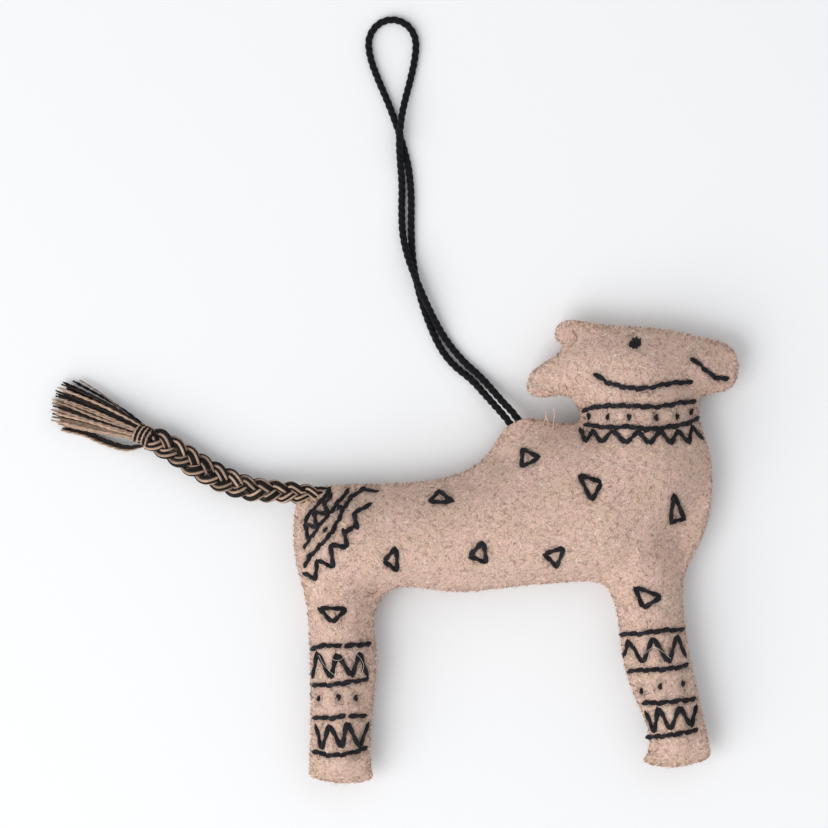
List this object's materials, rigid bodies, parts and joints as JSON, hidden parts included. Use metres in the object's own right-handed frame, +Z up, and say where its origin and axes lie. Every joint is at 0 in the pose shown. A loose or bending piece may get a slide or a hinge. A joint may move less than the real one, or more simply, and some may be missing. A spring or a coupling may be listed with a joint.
{
  "type": "stuffed felt animal ornament",
  "caption": "Small stuffed felt animal with embroidered bands, a braided tail with a tassel and a cord loop to hang it by.",
  "frame": {"origin": "on the table, under the middle of the felt body, which lies on its side", "axes": "+Z up out of the table and out of the front face, +X towards the muzzle, +Y towards the crown of the head"},
  "size_m": [0.1122, 0.1239, 0.0142],
  "materials": {
    "felt": "heathered pinkish-beige wool felt, about 1 mm thick, fuzzy, cut edges raw",
    "wool_stuffing": "loose off-white wool or polyester fill, sealed inside",
    "seam_thread": "brown and beige sewing thread, overcast along the edge",
    "black_floss": "black stranded embroidery floss",
    "black_cord": "twisted black cotton cord",
    "tail_yarn": "black and beige wool yarns laid together and braided",
    "black_yarn": "black wool yarn",
    "beige_yarn": "beige wool yarn"
  },
  "bodies": {
    "felt_body": {"back_body_triangles": "black_floss", "back_collar_dots": "black_floss", "back_collar_low_line": "black_floss", "back_collar_top_line": "black_floss", "back_collar_zigzag": "black_floss", "back_eye": "black_floss", "back_fore_band_lines": "black_floss", "back_fore_band_zigzags": "black_floss", "back_fore_dots": "black_floss", "back_hind_band_lines": "black_floss", "back_hind_band_zigzags": "black_floss", "back_hind_dots": "black_floss", "back_jaw_line": "black_floss", "back_muzzle_line": "black_floss", "back_panel": "felt", "back_rump_dots": "black_floss", "back_rump_lines": "black_floss", "back_rump_zigzags": "black_floss", "cord_anchor": "black_cord", "front_body_triangles": "black_floss", "front_collar_dots": "black_floss", "front_collar_low_line": "black_floss", "front_collar_top_line": "black_floss", "front_collar_zigzag": "black_floss", "front_eye": "black_floss", "front_fore_band_lines": "black_floss", "front_fore_band_zigzags": "black_floss", "front_fore_dots": "black_floss", "front_hind_band_lines": "black_floss", "front_hind_band_zigzags": "black_floss", "front_hind_dots": "black_floss", "front_jaw_line": "black_floss", "front_muzzle_line": "black_floss", "front_panel": "felt", "front_rump_dots": "black_floss", "front_rump_lines": "black_floss", "front_rump_zigzags": "black_floss", "seam_thread": "seam_thread", "stuffing": "wool_stuffing", "tail_anchor": "tail_yarn"},
    "tail": {"tail_strand_1": "tail_yarn", "tail_strand_2": "tail_yarn", "tail_strand_3": "tail_yarn", "tail_binding": "black_yarn", "tassel_beige_yarns": "beige_yarn", "tassel_black_yarns": "black_yarn"},
    "hanger": {"hanging_cord": "black_cord"}
  },
  "joints": [
    {"name": "tail_swing", "type": "hinge", "parent": "felt_body", "child": "tail", "pos_m": [-0.0366, 0.0096, 0.0036], "axis": [0, 0, 1], "range_deg": [-50, 60]},
    {"name": "hanger_swing", "type": "hinge", "parent": "felt_body", "child": "hanger", "pos_m": [-0.0008, 0.0215, 0.0036], "axis": [0, 0, 1], "range_deg": [-30, 25]}
  ]
}
